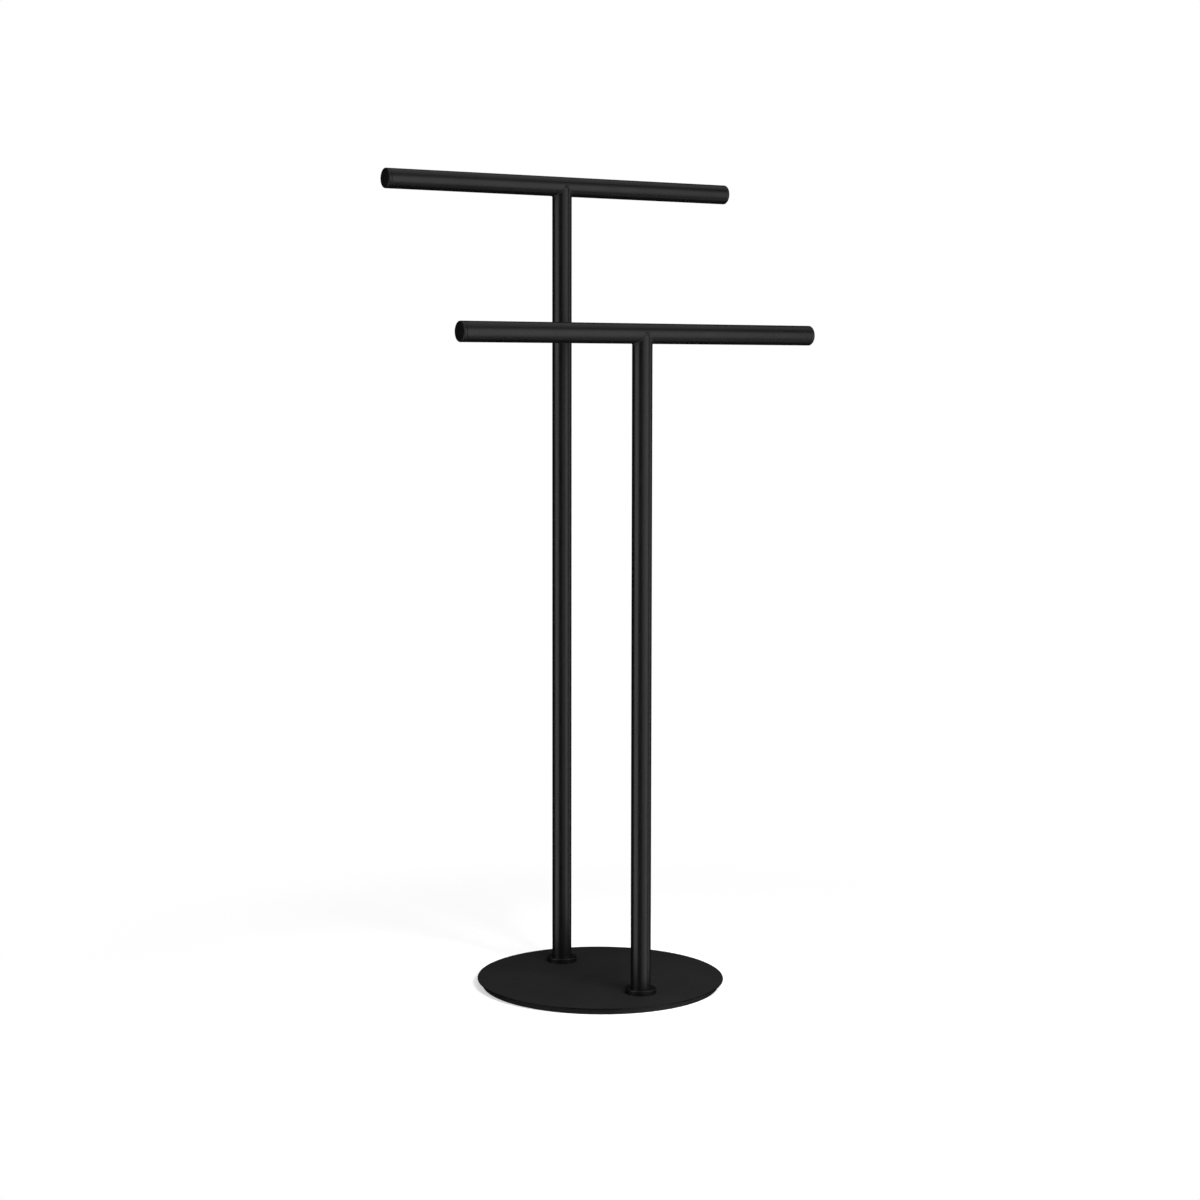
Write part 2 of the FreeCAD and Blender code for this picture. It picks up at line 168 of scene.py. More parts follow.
class Shader:
    """Node tree of one material, with short ways to add the nodes that the finishes share."""

    def __init__(self, name: str) -> None:
        """Starts a material.

        Args:
            name: name of the material.
        """
        self.material = bpy.data.materials.new(name)
        self.material.use_nodes = True
        self.tree = self.material.node_tree
        self.surface = self.tree.nodes["Principled BSDF"]
        self.place = self.tree.nodes.new("ShaderNodeTexCoord").outputs["Object"]

    def set(self, **values: float) -> None:
        """Sets constants on the surface shader.

        Args:
            values: socket names, with _ for a space, and their values.
        """
        for name, value in values.items():
            self.surface.inputs[name.replace("_", " ")].default_value = value

    def stretch(self, scale: tuple[float, float, float]) -> Socket:
        """Coordinates scaled by axis, for a pattern with a direction.

        Args:
            scale: scale along X, Y and Z.

        Returns:
            The stretched coordinates.
        """
        mapping = self.tree.nodes.new("ShaderNodeMapping")
        mapping.inputs["Scale"].default_value = scale
        self.tree.links.new(self.place, mapping.inputs["Vector"])
        return mapping.outputs["Vector"]

    def noise(self, size: float, detail: float = 2.0, place: Socket | None = None) -> Socket:
        """Soft noise.

        Args:
            size: size of its patches, in metres.
            detail: number of finer layers.
            place: coordinates, the object's own where none are given.

        Returns:
            The noise, from 0 to 1.
        """
        node = self.tree.nodes.new("ShaderNodeTexNoise")
        node.inputs["Scale"].default_value = 1.0 / size
        node.inputs["Detail"].default_value = detail
        self.tree.links.new(place or self.place, node.inputs["Vector"])
        return node.outputs["Fac"]

    def cells(self, size: float) -> Socket:
        """Rounded cells, dark at each cell's centre.

        Args:
            size: size of a cell, in metres.

        Returns:
            The distance to the nearest cell's centre.
        """
        node = self.tree.nodes.new("ShaderNodeTexVoronoi")
        node.feature = "SMOOTH_F1"
        node.inputs["Scale"].default_value = 1.0 / size
        self.tree.links.new(self.place, node.inputs["Vector"])
        return node.outputs["Distance"]

    def spread(self, value: Socket, low: float, high: float, contrast: float = 0.2) -> Socket:
        """Spreads a noise over a range.

        Args:
            value: noise around 0.5.
            low: result where the noise is low.
            high: result where the noise is high.
            contrast: distance from 0.5 at which the ends are reached.

        Returns:
            The spread value.
        """
        start, end = NOISE_MIDDLE - contrast, NOISE_MIDDLE + contrast
        node = share_between(self.tree, value, start, end)
        node.inputs["To Min"].default_value = low
        node.inputs["To Max"].default_value = high
        return node.outputs["Result"]

    def blend(self, amount: Socket, first: Tone | Socket, second: Tone | Socket) -> Socket:
        """Mixes two colours.

        Args:
            amount: share of the second colour.
            first: colour, as a tuple or a socket.
            second: colour, as a tuple or a socket.

        Returns:
            The mixed colour.
        """
        node = self.tree.nodes.new("ShaderNodeMix")
        node.data_type = "RGBA"
        self.tree.links.new(amount, node.inputs[MIX_AMOUNT])
        for index, colour in zip(MIX_COLOURS, (first, second)):
            if isinstance(colour, Socket):
                self.tree.links.new(colour, node.inputs[index])
            else:
                node.inputs[index].default_value = (*colour, 1.0)
        return node.outputs[MIX_COLOUR_OUT]

    def beyond(self, start: float, end: float) -> Socket:
        """How far a place is out from the Z axis, for the smoother wear and the painted shade round
        a rim.

        Args:
            start: radius where the result leaves 0.
            end: radius where it reaches 1.

        Returns:
            The share, from 0 to 1.
        """
        flat = self.tree.nodes.new("ShaderNodeVectorMath")
        flat.operation = "MULTIPLY"
        flat.inputs[1].default_value = (1.0, 1.0, 0.0)
        self.tree.links.new(self.place, flat.inputs[0])
        away = self.tree.nodes.new("ShaderNodeVectorMath")
        away.operation = "LENGTH"
        self.tree.links.new(flat.outputs["Vector"], away.inputs[0])
        return share_between(self.tree, away.outputs["Value"], start, end).outputs["Result"]

    def grazing(self, start: float, end: float) -> Socket:
        """How flat a surface is looked along, for paint that loses its gloss there.

        Args:
            start: share of grazing where the result leaves 0.
            end: share of grazing where it reaches 1.

        Returns:
            The share, from 0 to 1.
        """
        weight = self.tree.nodes.new("ShaderNodeLayerWeight")
        return share_between(self.tree, weight.outputs["Facing"], start, end).outputs["Result"]

    def towards(self, value: Socket, amount: Socket, other: float) -> Socket:
        """Moves a value towards another one.

        Args:
            value: the value where the amount is 0.
            amount: how far it moves, from 0 to 1.
            other: the value where the amount is 1.

        Returns:
            The moved value.
        """
        node = self.tree.nodes.new("ShaderNodeMix")
        first, second = MIX_NUMBERS
        self.tree.links.new(amount, node.inputs[MIX_AMOUNT])
        self.tree.links.new(value, node.inputs[first])
        node.inputs[second].default_value = other
        return node.outputs[MIX_NUMBER_OUT]

    def colour(self, value: Socket) -> None:
        """Gives the surface its colour."""
        self.tree.links.new(value, self.surface.inputs["Base Color"])

    def roughness(self, value: Socket) -> None:
        """Gives the surface its roughness."""
        self.tree.links.new(value, self.surface.inputs["Roughness"])

    def relief(self, *layers: tuple[Socket, float, float]) -> None:
        """Gives the surface its fine relief, one layer on another.

        Args:
            layers: height, depth in metres and strength of each layer, the finest last.
        """
        normal = None
        for height, depth, strength in layers:
            bump = self.tree.nodes.new("ShaderNodeBump")
            bump.inputs["Distance"].default_value = depth
            bump.inputs["Strength"].default_value = strength
            self.tree.links.new(height, bump.inputs["Height"])
            if normal is not None:
                self.tree.links.new(normal, bump.inputs["Normal"])
            normal = bump.outputs["Normal"]
        self.tree.links.new(normal, self.surface.inputs["Normal"])


@dataclass(frozen=True)
class PowderCoat:
    """Baked black paint: a satin film with a fine orange-peel and a faint drift of tone.

    Looked along nearly flat, its orange-peel hides the gloss. Where a rim is given, the film is
    rubbed smoother beyond it, and its colour there is darkened: a painted shade on the rim.
    """

    name: str
    # These default tones, used on the tubes, are several times darker than the plate's copy of the
    # same paint: painted shade on the uprights.
    dark: Tone = (0.0017, 0.0017, 0.0018)
    light: Tone = (0.0028, 0.0027, 0.0028)
    smooth: float = 0.27
    rough: float = 0.35
    gloss: float = 0.5
    peel_size: float = 0.9 * MM
    peel_depth: float = 0.012 * MM
    peel_strength: float = 0.45
    wave_size: float = 14 * MM
    wave_depth: float = 0.02 * MM
    wave_strength: float = 0.3
    drift_size: float = 60 * MM
    speck_size: float = 0.45 * MM
    speck_share: float = 0.35
    cloud_size: float = 22 * MM
    haze_from: float = 0.82
    haze_to: float = 0.9
    haze_rough: float = 1.0
    rim: float = 0.0
    rim_width: float = 0.8 * MM
    rim_rough: float = 0.24
    # Colour of the rim band: a painted shade, much darker than the rest of the film.
    rim_shade_tone: Tone = (0.0022, 0.0022, 0.0023)

    def make(self) -> bpy.types.Material:
        """Builds the material.

        Returns:
            The material.
        """
        shader = Shader(self.name)
        drift = shader.noise(self.drift_size, detail=3.0)
        speck = shader.noise(self.speck_size, detail=1.0)
        toned = shader.blend(shader.spread(drift, 0.0, 1.0), self.dark, self.light)
        tone = shader.blend(shader.spread(speck, 0.0, self.speck_share), toned, self.light)
        cloud = shader.noise(self.cloud_size, detail=4.0)
        sheen = shader.spread(cloud, self.smooth, self.rough)
        if self.rim > 0.0:
            # Beyond the rim the film is smoother, and its colour is darkened there as a painted
            # shade.
            rubbed_and_shaded = shader.beyond(self.rim, self.rim + self.rim_width)
            tone = shader.blend(rubbed_and_shaded, tone, self.rim_shade_tone)
            sheen = shader.towards(sheen, rubbed_and_shaded, self.rim_rough)
        haze = shader.grazing(self.haze_from, self.haze_to)
        sheen = shader.towards(sheen, haze, self.haze_rough)
        shader.colour(tone)
        shader.roughness(sheen)
        wave = shader.noise(self.wave_size, detail=1.0)
        peel = shader.noise(self.peel_size, detail=2.0)
        shader.relief(
            (wave, self.wave_depth, self.wave_strength),
            (peel, self.peel_depth, self.peel_strength),
        )
        shader.set(Specular_IOR_Level=self.gloss)
        return shader.material


@dataclass(frozen=True)
class MouldedPlastic:
    """Black injection-moulded plastic with the fine spark texture of its mould."""

    name: str
    dark: Tone = (0.0026, 0.0026, 0.0027)
    light: Tone = (0.0042, 0.0042, 0.0043)
    smooth: float = 0.28
    rough: float = 0.36
    gloss: float = 0.5
    flow_size: float = 8 * MM
    flow_depth: float = 0.01 * MM
    flow_strength: float = 0.3
    grain_size: float = 0.35 * MM
    grain_depth: float = 0.006 * MM
    grain_strength: float = 0.5

    def make(self) -> bpy.types.Material:
        """Builds the material.

        Returns:
            The material.
        """
        shader = Shader(self.name)
        flow = shader.noise(self.flow_size, detail=3.0)
        grain = shader.noise(self.grain_size, detail=3.0)
        shader.colour(shader.blend(shader.spread(flow, 0.0, 1.0), self.dark, self.light))
        shader.roughness(shader.spread(grain, self.smooth, self.rough))
        shader.relief(
            (flow, self.flow_depth, self.flow_strength),
            (grain, self.grain_depth, self.grain_strength),
        )
        shader.set(Specular_IOR_Level=self.gloss)
        return shader.material


@dataclass(frozen=True)
class Rubber:
    """Black foamed rubber: dull, pored and a little dusty."""

    name: str
    dark: Tone = (0.009, 0.009, 0.009)
    dusty: Tone = (0.021, 0.0205, 0.0195)
    dull: float = 0.72
    duller: float = 0.9
    gloss: float = 0.3
    dust_size: float = 9 * MM
    dust_depth: float = 0.05 * MM
    dust_strength: float = 0.3
    pore_size: float = 0.8 * MM
    pore_depth: float = 0.06 * MM
    pore_strength: float = 0.6

    def make(self) -> bpy.types.Material:
        """Builds the material.

        Returns:
            The material.
        """
        shader = Shader(self.name)
        dust = shader.noise(self.dust_size, detail=5.0)
        pores = shader.cells(self.pore_size)
        shader.colour(shader.blend(shader.spread(dust, 0.0, 1.0), self.dark, self.dusty))
        shader.roughness(shader.spread(dust, self.dull, self.duller))
        shader.relief(
            (dust, self.dust_depth, self.dust_strength),
            (pores, self.pore_depth, self.pore_strength),
        )
        shader.set(Specular_IOR_Level=self.gloss)
        return shader.material


@dataclass(frozen=True)
class ZincPlate:
    """Bright zinc on steel, clouded and lightly scuffed by a driver."""

    name: str
    cool: Tone = (0.46, 0.48, 0.51)
    warm: Tone = (0.56, 0.54, 0.49)
    smooth: float = 0.25
    rough: float = 0.45
    cloud_size: float = 3 * MM
    cloud_depth: float = 0.01 * MM
    cloud_strength: float = 0.2
    scuff_size: float = 0.6 * MM
    scuff_depth: float = 0.008 * MM
    scuff_strength: float = 0.5
    scuff_stretch: tuple[float, float, float] = (1.0, 1.0, 6.0)

    def make(self) -> bpy.types.Material:
        """Builds the material.

        Returns:
            The material.
        """
        shader = Shader(self.name)
        cloud = shader.noise(self.cloud_size, detail=4.0)
        scuff = shader.noise(self.scuff_size, detail=3.0, place=shader.stretch(self.scuff_stretch))
        shader.colour(shader.blend(shader.spread(cloud, 0.0, 1.0), self.cool, self.warm))
        shader.roughness(shader.spread(scuff, self.smooth, self.rough))
        shader.relief(
            (cloud, self.cloud_depth, self.cloud_strength),
            (scuff, self.scuff_depth, self.scuff_strength),
        )
        shader.set(Metallic=1.0)
        return shader.material


@dataclass
class Finishes:
    """Every material of the stand, made once."""

    tube: bpy.types.Material = field(init=False)
    plate: bpy.types.Material = field(init=False)
    bead: bpy.types.Material = field(init=False)
    cap: bpy.types.Material = field(init=False)
    rubber: bpy.types.Material = field(init=False)
    zinc: bpy.types.Material = field(init=False)

    def __post_init__(self) -> None:
        """Makes the materials."""
        # The tubes take the darkest copy of the one black paint: painted shade on the uprights.
        self.tube = PowderCoat("tube_powder_coat").make()
        self.plate = PowderCoat(
            "plate_powder_coat",
            dark=(0.0100, 0.0100, 0.0103),
            light=(0.0132, 0.0130, 0.0131),
            smooth=0.52,
            rough=0.62,
            gloss=0.25,
            rim=124.0 * MM,
        ).make()
        # The bead's copy of the same paint is lighter than the tubes': a painted highlight at the
        # joints.
        self.bead = PowderCoat(
            "bead_powder_coat",
            dark=(0.0060, 0.0060, 0.0062),
            light=(0.0090, 0.0088, 0.0089),
            smooth=0.27,
            rough=0.33,
            gloss=0.8,
            wave_size=2.5 * MM,
            wave_depth=0.02 * MM,
        ).make()
        self.cap = MouldedPlastic("moulded_cap").make()
        self.rubber = Rubber("foamed_rubber").make()
        self.zinc = ZincPlate("zinc_plate").make()


# ---- Mesh work --------------------------------------------------------------------------------


def clean(mesh: bmesh.types.BMesh) -> None:
    """Joins the points that fall together and removes the faces that have no area."""
    bmesh.ops.remove_doubles(mesh, verts=mesh.verts, dist=WELD_DISTANCE)
    bmesh.ops.dissolve_degenerate(mesh, edges=mesh.edges, dist=WELD_DISTANCE)


def add_piece(
    name: str, mesh: bmesh.types.BMesh, seat: Matrix, material: bpy.types.Material
) -> bpy.types.Object:
    """Turns a bmesh into a piece of the stand, its place in its mesh.

    Args:
        name: name of the piece.
        mesh: its shape about its own origin, freed here.
        seat: where that origin goes.
        material: its finish.

    Returns:
        The piece.
    """
    bmesh.ops.transform(mesh, matrix=seat, verts=mesh.verts)
    clean(mesh)
    bmesh.ops.recalc_face_normals(mesh, faces=mesh.faces)
    data = bpy.data.meshes.new(name)
    mesh.to_mesh(data)
    mesh.free()
    data.shade_smooth()
    data.set_sharp_from_angle(angle=SMOOTH_BELOW)
    data.materials.append(material)
    piece = bpy.data.objects.new(name, data)
    bpy.context.scene.collection.objects.link(piece)
    return piece


def carve(piece: bpy.types.Object, cutters: list[bpy.types.Object]) -> None:
    """Cuts the shapes of some cutters out of a piece and removes the cutters.

    Args:
        piece: the piece.
        cutters: closed shapes to take away.
    """
    for cutter in cutters:
        cut = piece.modifiers.new("cut", "BOOLEAN")
        cut.operation = "DIFFERENCE"
        cut.solver = "EXACT"
        cut.object = cutter
    bpy.context.view_layer.update()
    depsgraph = bpy.context.evaluated_depsgraph_get()
    carved = bpy.data.meshes.new_from_object(piece.evaluated_get(depsgraph))
    piece.modifiers.clear()
    piece.data = carved
    mesh = bmesh.new()
    mesh.from_mesh(carved)
    clean(mesh)
    mesh.to_mesh(carved)
    mesh.free()
    carved.set_sharp_from_angle(angle=SMOOTH_BELOW)
    for cutter in cutters:
        bpy.data.objects.remove(cutter)


def turn(profile: list[tuple[float, float]], steps: int) -> bmesh.types.BMesh:
    """Spins an outline about Z, from one point on the axis to another.

    Args:
        profile: radius and height of each point, in order along the outline.
        steps: number of steps of a full turn.

    Returns:
        The turned shape.
    """
    mesh = bmesh.new()
    points = [mesh.verts.new((radius, 0.0, height)) for radius, height in profile]
    for start, end in zip(points, points[1:]):
        mesh.edges.new((start, end))
    bmesh.ops.spin(
        mesh,
        geom=mesh.verts[:] + mesh.edges[:],
        cent=(0.0, 0.0, 0.0),
        axis=(0.0, 0.0, 1.0),
        angle=math.tau,
        steps=steps,
        use_merge=True,
    )
    bmesh.ops.remove_doubles(mesh, verts=mesh.verts, dist=WELD_DISTANCE)
    return mesh


def rod(
    radius: float, low: float, high: float, sides: int, capped: bool = True
) -> bmesh.types.BMesh:
    """Upright rod about Z.

    Args:
        radius: radius of its corners.
        low: height of its foot.
        high: height of its top.
        sides: number of its sides.
        capped: whether its ends are closed.

    Returns:
        The rod.
    """
    mesh = bmesh.new()
    bmesh.ops.create_cone(
        mesh,
        cap_ends=capped,
        segments=sides,
        radius1=radius,
        radius2=radius,
        depth=high - low,
        matrix=Matrix.Translation((0.0, 0.0, (high + low) / 2)),
    )
    return mesh


def rim(mesh: bmesh.types.BMesh, radius: float, height: float) -> list[bmesh.types.BMEdge]:
    """Edges of one circle about Z.

    Args:
        mesh: shape turned about Z.
        radius: radius of the circle.
        height: height of the circle.

    Returns:
        The edges.
    """

    def on_circle(point: Vector) -> bool:
        """Whether a point is on the circle."""
        away = math.hypot(point.x, point.y) - radius
        return abs(away) < SAME_PLACE and abs(point.z - height) < SAME_PLACE

    return [edge for edge in mesh.edges if all(on_circle(vert.co) for vert in edge.verts)]


def soften(mesh: bmesh.types.BMesh, edges: list[bmesh.types.BMEdge], by: float, steps: int) -> None:
    """Rounds some edges.

    Args:
        mesh: the shape.
        edges: its edges to round.
        by: how far the rounding reaches from the edge.
        steps: number of steps of the rounding.
    """
    bmesh.ops.bevel(
        mesh,
        geom=edges,
        offset=by,
        offset_type="OFFSET",
        affect="EDGES",
        segments=steps,
        profile=0.5,
        material=-1,
        clamp_overlap=True,
    )


def dress(node: str, material: bpy.types.Material) -> None:
    """Gives a CAD node its finish.

    Args:
        node: name of the node.
        material: the finish.
    """
    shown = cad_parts[node]
    if not shown.material_slots:
        shown.data.materials.append(material)
    for slot in shown.material_slots:
        slot.material = material
    log.info("dressed %s in %s", node, material.name)


def stand_in(piece: bpy.types.Object, node: str) -> None:
    """Puts a modelled piece in the place of a CAD node.

    Args:
        piece: the piece.
        node: name of the node that it replaces.
    """
    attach(piece, BODY)
    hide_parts(node)
    log.info("modelled %s for %s, %d faces", piece.name, node, len(piece.data.polygons))


# ---- Sub-assemblies ---------------------------------------------------------------------------


@dataclass
class EndCap:
    """Moulded cap of one end of a bar: a rounded head against the tube and a barbed plug inside."""

    rack: str
    side: Side
    radius: float = 10 * MM
    head: float = 3.5 * MM
    crown: float = 0.15 * MM
    crown_edge: float = 6 * MM
    crown_fall: float = 0.045 * MM
    edge_round: float = 0.9 * MM
    edge_steps: int = 6
    seam_bevel: float = 0.15 * MM
    seam_steps: int = 2
    crest: float = 8.4 * MM
    root: float = 7.6 * MM
    hollow: float = 5.6 * MM
    plug: float = 15 * MM
    lead: float = 1 * MM
    barb_pitch: float = 4 * MM
    barbs: int = 3
    steps: int = 96

    @property
    def node(self) -> str:
        """Name of the CAD node."""
        return f"{self.rack}_bar_{self.side.value}_cap"

    def outline(self) -> list[tuple[float, float]]:
        """Outline of the cap, its seat at height zero and its head above.

        Returns:
            Radius and height of each point.
        """
        shoulder = self.head - self.crown
        points = [(0.0, self.head), (self.crown_edge, self.head - self.crown_fall)]
        points += [(self.radius, shoulder), (self.radius, 0.0), (self.root, 0.0)]
        for barb in range(self.barbs):
            start = -barb * self.barb_pitch
            points.append((self.crest, start - self.lead))
            points.append((self.root, start - self.barb_pitch))
        points += [(self.root, -self.plug), (self.hollow, -self.plug)]
        points += [(self.hollow, 0.0), (0.0, 0.0)]
        return points

    def build(self, finishes: Finishes) -> None:
        """Models the cap on the end of its bar.

        Args:
            finishes: the materials.
        """
        mesh = turn(self.outline(), self.steps)
        shoulder = rim(mesh, self.radius, self.head - self.crown)
        soften(mesh, shoulder, self.edge_round, self.edge_steps)
        soften(mesh, rim(mesh, self.radius, 0.0), self.seam_bevel, self.seam_steps)
        low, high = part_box(self.node)
        middle = (low + high) / 2
        seat_x = high.x - self.head if self.side is Side.RIGHT else low.x + self.head
        lay = Matrix.Rotation(self.side.way * math.pi / 2, 4, "Y")
        seat = Matrix.Translation((seat_x, middle.y, middle.z)) @ lay
        piece = add_piece(f"{self.node}_moulded", mesh, seat, finishes.cap)
        stand_in(piece, self.node)


@dataclass
class WeldBead:
    """Bead of weld in one corner of a T, laid along the ellipse where post and bar meet.

    It is thin along the ellipse and ends in a small blob at the front and back of the tubes, where
    the welder starts and stops.
    """

    rack: str
    side: Side
    tube: float = 10 * MM
    bead: float = 0.8 * MM
    thin: float = 0.5
    blob: float = 2.3
    blob_reach: float = math.radians(8)
    ripple: float = 0.05
    ripples: int = 22
    sink: float = 0.1 * MM
    steps: int = 144
    round_steps: int = 20

    @property
    def node(self) -> str:
        """Name of the CAD node."""
        return f"{self.rack}_{self.side.value}_weld"

    def fullness(self, bearing: float) -> float:
        """Thickness of the bead at one place, as a share of its thickness in the corner.

        Args:
            bearing: bearing of the place from the corner, in radians.

        Returns:
            The share.
        """
        from_end = math.pi / 2 - abs(bearing)
        body = self.thin + (1.0 - self.thin) * max(0.0, math.cos(bearing))
        swell = (self.blob - self.thin) * math.exp(-((from_end / self.blob_reach) ** 2))
        return (body + swell) * (1.0 + self.ripple * math.cos(2 * self.ripples * bearing))

    def shape(self) -> bmesh.types.BMesh:
        """Half a ring of bead, with the ripples of its passes.

        Returns:
            The half ring, lying in the XY plane, open to -X.
        """
        mesh = bmesh.new()
        upright = Matrix.Translation((0.0, -self.tube, 0.0)) @ Matrix.Rotation(math.pi / 2, 4, "Y")
        bmesh.ops.create_circle(
            mesh, cap_ends=False, radius=self.bead, segments=self.round_steps, matrix=upright
        )
        bmesh.ops.spin(
            mesh,
            geom=mesh.verts[:] + mesh.edges[:],
            cent=(0.0, 0.0, 0.0),
            axis=(0.0, 0.0, 1.0),
            angle=math.pi,
            steps=self.steps,
            use_merge=False,
        )
        for vert in mesh.verts:
            bearing = math.atan2(vert.co.y, vert.co.x)
            core = Vector((math.cos(bearing), math.sin(bearing), 0.0)) * self.tube
            vert.co = core + (vert.co - core) * self.fullness(bearing)
        bmesh.ops.holes_fill(mesh, edges=[edge for edge in mesh.edges if edge.is_boundary])
        return mesh

    def build(self, finishes: Finishes, post_y: float, bar_height: float) -> None:
        """Models the bead in its corner.

        Args:
            finishes: the materials.
            post_y: Y of the post's axis.
            bar_height: height of the bar's axis.
        """
        longer = Matrix.Diagonal((math.sqrt(2), 1.0, 1.0, 1.0))
        tilt = Matrix.Rotation(math.pi / 4, 4, "Y")
        mirror = Matrix.Diagonal((self.side.way, 1.0, 1.0, 1.0))
        corner = Matrix.Translation((self.side.way * -self.sink, post_y, bar_height + self.sink))
        seat = corner @ mirror @ tilt @ longer
        piece = add_piece(f"{self.node}_bead", self.shape(), seat, finishes.bead)
        stand_in(piece, self.node)


@dataclass
class PostScrew:
    """Countersunk screw that holds a post from below, with a hex socket and a rolled thread."""

    rack: str
    head_radius: float = 6 * MM
    head_round: float = 0.12 * MM
    head_steps: int = 2
    land: float = 0.3 * MM
    cone: float = 3 * MM
    core: float = 2.45 * MM
    crest: float = 3 * MM
    length: float = 16 * MM
    tip: float = 0.8 * MM
    pitch: float = 1 * MM
    ridge_half: float = 0.42 * MM
    ridge_sink: float = 0.05 * MM
    turn_steps: int = 24
    steps: int = 48
    key: float = 4 * MM
    key_depth: float = 2.2 * MM
    key_sides: int = 6

    @property
    def node(self) -> str:
        """Name of the CAD node."""
        return f"{self.rack}_post_screw"

    def thread(self) -> bmesh.types.BMesh:
        """Helical ridge of the thread.

        Returns:
            The ridge, about Z.
        """
        mesh = bmesh.new()
        half = self.ridge_half
        foot = self.core - self.ridge_sink
        start = self.cone + self.pitch
        corners = [(foot, start - half), (self.crest, start), (foot, start + half)]
        points = [mesh.verts.new((radius, 0.0, height)) for radius, height in corners]
        mesh.faces.new(points)
        turns = math.floor((self.length - start - half) / self.pitch)
        bmesh.ops.spin(
            mesh,
            geom=mesh.verts[:] + mesh.edges[:] + mesh.faces[:],
            cent=(0.0, 0.0, 0.0),
            axis=(0.0, 0.0, 1.0),
            dvec=(0.0, 0.0, self.pitch / self.turn_steps),
            angle=math.tau * turns,
            steps=self.turn_steps * turns,
            use_merge=False,
        )
        return mesh

    def build(self, finishes: Finishes, post_y: float) -> None:
        """Models the screw under its post.

        Args:
            finishes: the materials.
            post_y: Y of the post's axis.
        """
        low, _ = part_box(self.node)
        seat = Matrix.Translation((0.0, post_y, low.z))
        outline = [(0.0, 0.0), (self.head_radius, 0.0), (self.head_radius, self.land)]
        outline += [(self.core, self.cone + self.land), (self.core, self.length - self.tip)]
        outline += [(self.core - self.tip, self.length), (0.0, self.length)]
        body = turn(outline, self.steps)
        soften(body, rim(body, self.head_radius, 0.0), self.head_round, self.head_steps)
        piece = add_piece(f"{self.node}_turned", body, seat, finishes.zinc)
        socket = rod(self.key / math.sqrt(3), -self.key_depth, self.key_depth, self.key_sides)
        carve(piece, [add_piece("key_cutter", socket, seat, finishes.zinc)])
        whole = bmesh.new()
        whole.from_mesh(piece.data)
        ridge = bpy.data.meshes.new("thread_ridge")
        helix = self.thread()
        bmesh.ops.recalc_face_normals(helix, faces=helix.faces)
        bmesh.ops.transform(helix, matrix=seat, verts=helix.verts)
        helix.to_mesh(ridge)
        helix.free()
        whole.from_mesh(ridge)
        whole.to_mesh(piece.data)
        whole.free()
        bpy.data.meshes.remove(ridge)
        piece.data.set_sharp_from_angle(angle=SMOOTH_BELOW)
        stand_in(piece, self.node)


@dataclass
class Rack:
    """One T: a post with its collar, insert, screw and pin, and a bar with its welds and caps."""

    name: str

    def build(self, finishes: Finishes) -> None:
        """Models and dresses the pieces of the rack.

        Args:
            finishes: the materials.
        """
        low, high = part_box(f"{self.name}_post")
        post_y = (low.y + high.y) / 2
        bar_low, bar_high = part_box(f"{self.name}_bar")
        bar_height = (bar_low.z + bar_high.z) / 2
        for tube in ("post", "bar", "collar"):
            dress(f"{self.name}_{tube}", finishes.tube)
        for steel in ("post_insert", "locating_pin"):
            dress(f"{self.name}_{steel}", finishes.zinc)
        for side in Side:
            EndCap(self.name, side).build(finishes)
            WeldBead(self.name, side).build(finishes, post_y, bar_height)
        PostScrew(self.name).build(finishes, post_y)


